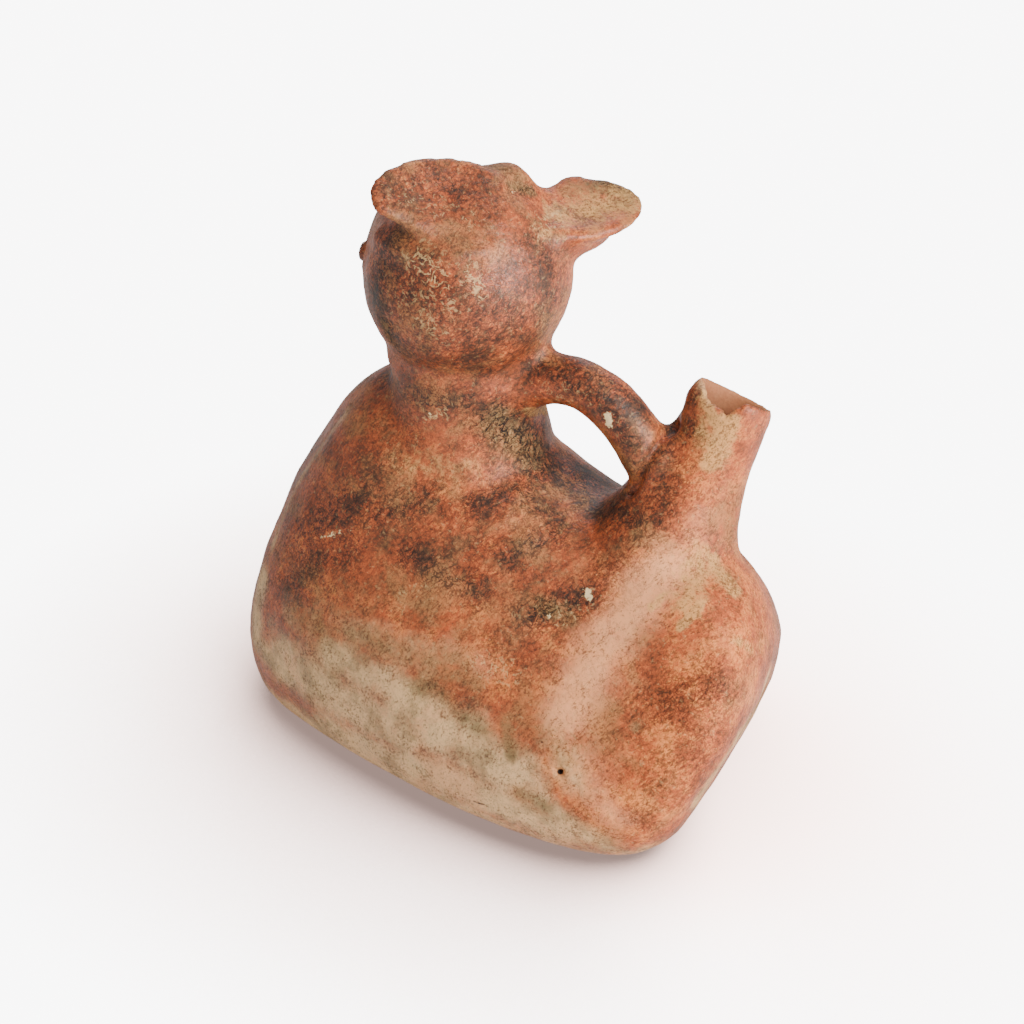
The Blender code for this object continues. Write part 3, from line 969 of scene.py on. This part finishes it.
def frayed_marks():
    """A field with its edge broken up by noise: 1 in the mark, 0 outside it."""
    inputs = (
        ("Vector", VECTOR, None),
        ("Field", FLOAT, 0.0),
        ("Scale", FLOAT, 300.0),
        ("Fray", FLOAT, 0.8),
        ("Edge", FLOAT, 0.2),
        ("Level", FLOAT, 0.5),
    )
    tree, given, out = shader_group("frayed_marks", inputs, (("Mask", FLOAT),))
    wave = noise(tree, given["Vector"], given["Scale"], 5.0, 0.65)
    swing = sums(tree, "MULTIPLY", sums(tree, "SUBTRACT", wave, 0.5), given["Fray"])
    value = sums(tree, "ADD", given["Field"], swing)
    low = sums(tree, "SUBTRACT", given["Level"], given["Edge"])
    high = sums(tree, "ADD", given["Level"], given["Edge"])
    wire(tree, out["Mask"], soft_step(tree, value, low, high))
    return tree


def broken_hairlines():
    """Thin curved lines where a noise crosses its middle, broken up by a second noise."""
    inputs = (
        ("Vector", VECTOR, None),
        ("Scale", FLOAT, 260.0),
        ("Width", FLOAT, 0.03),
        ("Share", FLOAT, 0.5),
    )
    tree, given, out = shader_group("broken_hairlines", inputs, (("Mask", FLOAT),))
    wave = noise(tree, given["Vector"], given["Scale"], 3.0, 0.6, 0.6)
    crest = sums(tree, "ABSOLUTE", sums(tree, "SUBTRACT", wave, 0.5))
    line = soft_step(tree, crest, 0.0, given["Width"], 1.0, 0.0)
    finer = sums(tree, "MULTIPLY", given["Scale"], 1.7)
    gate = noise(tree, given["Vector"], finer, 2.0, 0.5)
    limit = sums(tree, "SUBTRACT", 1.0, given["Share"])
    low = sums(tree, "SUBTRACT", limit, 0.08)
    high = sums(tree, "ADD", limit, 0.08)
    open_gate = soft_step(tree, gate, low, high)
    wire(tree, out["Mask"], sums(tree, "MULTIPLY", line, open_gate))
    return tree


def sandy_grain():
    """Fine uneven grain, as a value from about 0 to 1 and as a height."""
    inputs = (("Vector", VECTOR, None), ("Scale", FLOAT, 900.0))
    outputs = (("Value", FLOAT), ("Height", FLOAT))
    tree, given, out = shader_group("sandy_grain", inputs, outputs)
    fine = noise(tree, given["Vector"], given["Scale"], 3.0, 0.7)
    coarse = noise(tree, given["Vector"], sums(tree, "MULTIPLY", given["Scale"], 0.3), 2.0)
    wire(tree, out["Value"], soft_step(tree, fine, 0.25, 0.75))
    wire(tree, out["Height"], sums(tree, "ADD", fine, sums(tree, "MULTIPLY", coarse, 1.5)))
    return tree


FRAYED = frayed_marks()
HAIRLINES = broken_hairlines()
GRAIN = sandy_grain()


def effect(tree, group, output, **values):
    """Places a shared group in a material; names use _ for a space."""
    step = node(tree, "ShaderNodeGroup", node_tree=group)
    for word, value in values.items():
        wire(tree, step.inputs[word.replace("_", " ")], value)
    return step.outputs[output]


print("shared groups", [group.name for group in (FRAYED, HAIRLINES, GRAIN)])

# %% [markdown]
# ## The burnished clay
# The slip is an iron-rich red that fired unevenly: orange where it is thin and clean, brown under
# soot, cream where the slip is worn off the lower flank. A picture of it would fix the marks to
# one view. Here the fields say where each finish lies, and where painted highlights, a painted
# reflection and painted shade lie, and noise, hairlines and grain do the rest.

# %% Colours of slip, soot and earth
def slip(red, green, blue):
    """A colour as a colour card gives it, from 0 to 255, turned into light."""
    card = np.array((red, green, blue)) / 255
    light = np.where(card <= 0.04045, card / 12.92, ((card + 0.055) / 1.055) ** 2.4)
    return (*[float(v) for v in light], 1.0)


def over(tree, below, above, share):
    """Lays one colour over another."""
    step = node(tree, "ShaderNodeMix", data_type="RGBA")
    wire(tree, step.inputs[0], share)
    wire(tree, step.inputs[6], below)
    wire(tree, step.inputs[7], above)
    return step.outputs[2]


def field_of(tree, name):
    return node(tree, "ShaderNodeAttribute", attribute_name=name).outputs["Fac"]


TERRACOTTA = slip(190, 94, 54)
PALE_TERRACOTTA = slip(240, 142, 76)
RED_BROWN = slip(152, 76, 46)
UMBER = slip(106, 62, 42)
CHAR = slip(62, 38, 30)
# Black of thick soot, and of the painted shade in the hole and pits.
SOOT_AND_SHADE_BLACK = slip(30, 23, 22)
OCHRE = slip(190, 132, 80)
FLAME_RED = slip(226, 72, 2)
# Rose for rosy wear, and the colour of painted highlights.
ROSE_AND_HIGHLIGHT = slip(255, 180, 130)
# Cream of worn slip, also the colour of the painted reflection on the left outline.
WORN_CREAM_AND_SHEEN = slip(246, 202, 146)
OLIVE_SMOKE = slip(142, 120, 82)
DRY_EARTH = slip(228, 174, 106)
STAIN = slip(96, 60, 38)
ROOT_PALE = slip(236, 192, 132)
CHALK = slip(255, 224, 168)


def burn_colours(tree, burn):
    """From clean slip at 0 to thick soot at 1."""
    ramp = node(tree, "ShaderNodeValToRGB")
    steps = ((0.08, PALE_TERRACOTTA), (0.36, TERRACOTTA), (0.56, RED_BROWN), (0.72, UMBER))
    steps += ((0.88, CHAR), (1.0, SOOT_AND_SHADE_BLACK))
    stops = ramp.color_ramp.elements
    while len(stops) < len(steps):
        stops.new(0.5)
    for stop, (place, colour) in zip(stops, steps):
        stop.position = place
        stop.color = colour
    wire(tree, ramp.inputs[0], burn)
    return ramp.outputs[0]


print("slip colours ready")

# %% [markdown]
# ## Slip, fire, dirt and painted light
# The kiln coloured the slip by how much smoke reached it, so one number, the burn, runs from clean
# orange to black. Each patch could be painted, but the burn is a sum instead: noise in three sizes
# and the fields of soot, with painted shade under the handle, and of clean slip, with the lit end
# face painted lighter. Rosy places with painted highlights, worn places with a painted reflection
# along the left outline, and dirty places are then laid over it.

# %% Colours of the outside
burnished.use_nodes = True
tree = burnished.node_tree
shader = tree.nodes["Principled BSDF"]
place = node(tree, "ShaderNodeTexCoord").outputs["Object"]


def drawn_out(degrees, stretch):
    """Turns and stretches the places, so that marks laid by them run one way."""
    step = node(tree, "ShaderNodeMapping", vector_type="TEXTURE")
    wire(tree, step.inputs["Vector"], place)
    step.inputs["Rotation"].default_value = [math.radians(angle) for angle in degrees]
    step.inputs["Scale"].default_value = stretch
    return step.outputs[0]


def frayed(name, scale, fray, edge, level=0.5):
    return effect(
        tree,
        FRAYED,
        "Mask",
        Vector=place,
        Field=field_of(tree, name),
        Scale=scale,
        Fray=fray,
        Edge=edge,
        Level=level,
    )


def times(value, factor):
    return sums(tree, "MULTIPLY", value, factor)


def swing(scale, detail, roughness, gain, at=place):
    """Noise round zero, times a gain."""
    wave = noise(tree, at, scale, detail, roughness)
    return times(sums(tree, "SUBTRACT", wave, 0.5), gain)


strokes = drawn_out((10, -38, 48), (1.5, 0.95, 0.95))
soot_and_shade = field_of(tree, "soot_and_shade")
veil = frayed("soot_and_shade", 100.0, 2.2, 0.5, 0.62)
fine = swing(680.0, 4.0, 0.8, 1.35, strokes)
burn = sums(tree, "ADD", 0.45, swing(24.0, 3.0, 0.55, 0.55))
burn = sums(tree, "ADD", burn, swing(95.0, 6.0, 0.7, 1.05))
burn = sums(tree, "ADD", burn, times(veil, 0.24))
# Painted highlight and painted light: these fields lighten the burn on the ridge and on the lit end
# face.
burn = sums(tree, "SUBTRACT", burn, times(field_of(tree, "rose_and_highlight"), 0.12))
burn = sums(tree, "SUBTRACT", burn, times(field_of(tree, "clean_and_lit"), 0.17))
grit = sums(tree, "MULTIPLY_ADD", soot_and_shade, 0.6, 0.75)
burn = sums(tree, "ADD", burn, sums(tree, "MULTIPLY", fine, grit))
colour = burn_colours(tree, sums(tree, "MINIMUM", burn, 0.9))
bleached = soft_step(tree, noise(tree, place, 52.0, 5.0, 0.65, 0.4), 0.47, 0.66, 0.0, 0.55)
colour = over(tree, colour, OCHRE, bleached)
# Painted highlight: rose laid where the key light's highlight falls, and on rosy wear.
rose_and_highlight = frayed("rose_and_highlight", 90.0, 0.9, 0.5, 0.62)
colour = over(tree, colour, ROSE_AND_HIGHLIGHT, times(rose_and_highlight, 0.76))
flame = frayed("flame", 150.0, 1.4, 0.45, 0.52)
colour = over(tree, colour, FLAME_RED, times(flame, 0.92))
# Worn cream slip, and along the left outline a painted reflection.
pale_and_sheen = frayed("pale_and_sheen", 110.0, 1.1, 0.42, 0.56)
smoke = soft_step(tree, noise(tree, place, 60.0, 5.0, 0.7), 0.42, 0.64)
smoke = sums(tree, "MAXIMUM", times(smoke, 0.75), frayed("smoke", 200.0, 0.8, 0.3))
cream_and_sheen = over(tree, WORN_CREAM_AND_SHEEN, OLIVE_SMOKE, smoke)
flush = soft_step(tree, noise(tree, place, 38.0, 4.0, 0.6, 0.5), 0.52, 0.68, 0.0, 0.45)
cream_and_sheen = over(tree, cream_and_sheen, ROSE_AND_HIGHLIGHT, flush)
colour = over(tree, colour, cream_and_sheen, times(pale_and_sheen, 0.88))
colour = over(tree, colour, OLIVE_SMOKE, times(frayed("smoke", 260.0, 1.0, 0.3, 0.55), 0.55))
earth = frayed("earth", 330.0, 1.1, 0.22, 0.5)
colour = over(tree, colour, DRY_EARTH, times(earth, 0.68))
print("slip, fire and dirt", len(tree.nodes), "nodes")

# %% [markdown]
# ## Stains, hair marks and flecks
# Roots and burnt straw left hair-thin marks in the slip, and sand shows as specks. As meshes they
# would be thousands of slivers, so the hairline group draws them: dark ones in two crossing ways,
# strongest in the soot, and pale ones where roots lay. Gloss and fine relief follow the same marks.

# %% Small marks, gloss and relief
def hairs(at, scale, width, share):
    return effect(tree, HAIRLINES, "Mask", Vector=at, Scale=scale, Width=width, Share=share)


speckle = noise(tree, strokes, 1050.0, 4.0, 0.8)
patchy = noise(tree, place, 130.0, 3.0, 0.6)
limit = sums(tree, "MULTIPLY_ADD", patchy, 0.36, 0.33)
limit = sums(tree, "SUBTRACT", limit, sums(tree, "MAXIMUM", times(pale_and_sheen, 0.03), times(rose_and_highlight, 0.055)))
stipple = soft_step(tree, speckle, limit, sums(tree, "SUBTRACT", limit, 0.12), 0.0, 0.72)
colour = over(tree, colour, STAIN, stipple)
fleck = soft_step(tree, noise(tree, place, 1300.0, 3.0, 0.7), 0.62, 0.74, 0.0, 0.38)
colour = over(tree, colour, ROOT_PALE, fleck)
share = sums(tree, "MULTIPLY_ADD", soot_and_shade, 0.32, 0.46)
dark_hairs = hairs(strokes, 330.0, 0.065, share)
crossed = hairs(drawn_out((-35, 20, -30), (2.2, 0.8, 0.8)), 420.0, 0.06, share)
dark_hairs = sums(tree, "MAXIMUM", dark_hairs, times(crossed, 0.8))
weight = sums(tree, "MULTIPLY_ADD", soot_and_shade, 0.6, 0.38)
weight = sums(tree, "SUBTRACT", weight, times(sums(tree, "MAXIMUM", pale_and_sheen, rose_and_highlight), 0.14))
colour = over(tree, colour, SOOT_AND_SHADE_BLACK, sums(tree, "MULTIPLY", dark_hairs, weight))
shifted = node(tree, "ShaderNodeMapping")
wire(tree, shifted.inputs["Vector"], place)
shifted.inputs["Location"].default_value = (0.37, 0.11, 0.23)
roots = field_of(tree, "roots")
share = sums(tree, "MULTIPLY_ADD", roots, 0.24, 0.36)
pale_hairs = hairs(shifted.outputs[0], 300.0, 0.055, share)
weight = sums(tree, "MULTIPLY_ADD", roots, 0.55, 0.26)
colour = over(tree, colour, ROOT_PALE, sums(tree, "MULTIPLY", pale_hairs, weight))
chalk = frayed("chalk", 620.0, 2.2, 0.15, 0.55)
colour = over(tree, colour, CHALK, times(chalk, 0.9))
# Painted shade: the hole and the pits are painted black.
colour = over(tree, colour, SOOT_AND_SHADE_BLACK, frayed("pit_shade", 900.0, 0.5, 0.2))
wire(tree, shader.inputs["Base Color"], colour)

height = effect(tree, GRAIN, "Height", Vector=place, Scale=1300.0)
dull = sums(tree, "MAXIMUM", field_of(tree, "clean_and_lit"), field_of(tree, "smoke"))
dull = sums(tree, "MAXIMUM", dull, field_of(tree, "rose_and_highlight"))
wire(tree, shader.inputs["Specular IOR Level"], sums(tree, "MULTIPLY_ADD", dull, -0.3, 0.42))
rough = sums(tree, "MULTIPLY_ADD", stipple, 0.16, 0.34)
rough = sums(tree, "ADD", rough, times(dull, 0.22))
rough = sums(tree, "SUBTRACT", rough, times(field_of(tree, "polish"), 0.2))
for mask, gain in ((veil, 0.08), (bleached, 0.2), (pale_and_sheen, 0.12), (earth, 0.28), (chalk, 0.4)):
    rough = sums(tree, "ADD", rough, times(mask, gain))
wire(tree, shader.inputs["Roughness"], rough)

relief = sums(tree, "SUBTRACT", height, times(dark_hairs, 0.6))
relief = sums(tree, "ADD", relief, times(earth, 0.8))
relief = sums(tree, "ADD", relief, times(chalk, 1.5))
bump = node(tree, "ShaderNodeBump")
bump.inputs["Strength"].default_value = 0.4
bump.inputs["Distance"].default_value = 0.00025
wire(tree, bump.inputs["Height"], relief)
wire(tree, shader.inputs["Normal"], bump.outputs[0])
print("burnished clay", len(tree.nodes), "nodes")

# %% [markdown]
# ## The bare inside
# No hand could coat or rub the wall of the bore, so it is plain sandy clay, with painted shade
# that darkens it with depth. It could share the outside's material, but one of its own keeps slip
# and soot out of it.

# %% The inside's material
BARE_ORANGE = slip(184, 118, 78)
BARE_PALE = slip(206, 146, 102)
BORE_SHADE = slip(104, 58, 38)
SAND_BROWN = slip(112, 66, 44)
SAND = 900.0
bare.use_nodes = True
tree = bare.node_tree
shader = tree.nodes["Principled BSDF"]
place = node(tree, "ShaderNodeTexCoord").outputs["Object"]
cloud = soft_step(tree, noise(tree, place, 60.0, 4.0, 0.6), 0.35, 0.65)
colour = over(tree, BARE_ORANGE, BARE_PALE, cloud)
# Painted shade: the bore darkens with depth.
colour = over(tree, colour, BORE_SHADE, times(field_of(tree, "depth"), 0.75))
grain = effect(tree, GRAIN, "Value", Vector=place, Scale=SAND)
colour = over(tree, colour, SAND_BROWN, times(grain, 0.35))
wire(tree, shader.inputs["Base Color"], colour)
shader.inputs["Roughness"].default_value = 0.85
bump = node(tree, "ShaderNodeBump")
bump.inputs["Strength"].default_value = 0.5
bump.inputs["Distance"].default_value = 0.0003
wire(tree, bump.inputs["Height"], effect(tree, GRAIN, "Height", Vector=place, Scale=SAND))
wire(tree, shader.inputs["Normal"], bump.outputs[0])
print("bare clay", len(tree.nodes), "nodes")

# %% [markdown]
# ## Handing over
# The finished clay takes the place of the plain solid, which stays in the simulation. It is kept
# inside the solid's box, so that its size stays true. The wall of the hollow gets the bare clay,
# and round the mouth a point counts as inside when its surface faces the axis of the bore.

# %% Fit, slots and finish
BORE_REACH = 15
BORE_DEPTH = 9
FACES_AXIS = -0.2
DARK_FROM = -1
low, high = (np.array(corner) for corner in cad_box)
points = np.clip(points_of(clay.data), low, high)
move_points(clay.data, points)
mesh = clay.data
mesh.materials.clear()
mesh.materials.append(burnished)
mesh.materials.append(bare)
bearing, radius, rise = in_mouth(points)
turned = normals_of(mesh) @ np.array(MOUTH.to_3x3())
around = np.radians(bearing)
inward = turned[:, 0] * np.cos(around) + turned[:, 1] * np.sin(around) < FACES_AXIS
inside = np.where((radius < BORE_REACH) & (rise > -BORE_DEPTH), inward, inside)
# The depth field drives the bore's painted shade.
keep_field(mesh, "depth", np.clip((DARK_FROM - rise) / BORE_DEPTH, 0, 1))
corners = np.empty(len(mesh.polygons), np.int32)
mesh.polygons.foreach_get("loop_start", corners)
firsts = np.empty(len(mesh.loops), np.int32)
mesh.loops.foreach_get("vertex_index", firsts)
mesh.polygons.foreach_set("material_index", inside[firsts[corners]].astype(np.int32))
mesh.polygons.foreach_set("use_smooth", np.ones(len(mesh.polygons), bool))
mesh.update()

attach(clay, "root")
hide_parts("vessel")
print("clay vessel", sum(len(face.vertices) - 2 for face in mesh.polygons), "triangles")
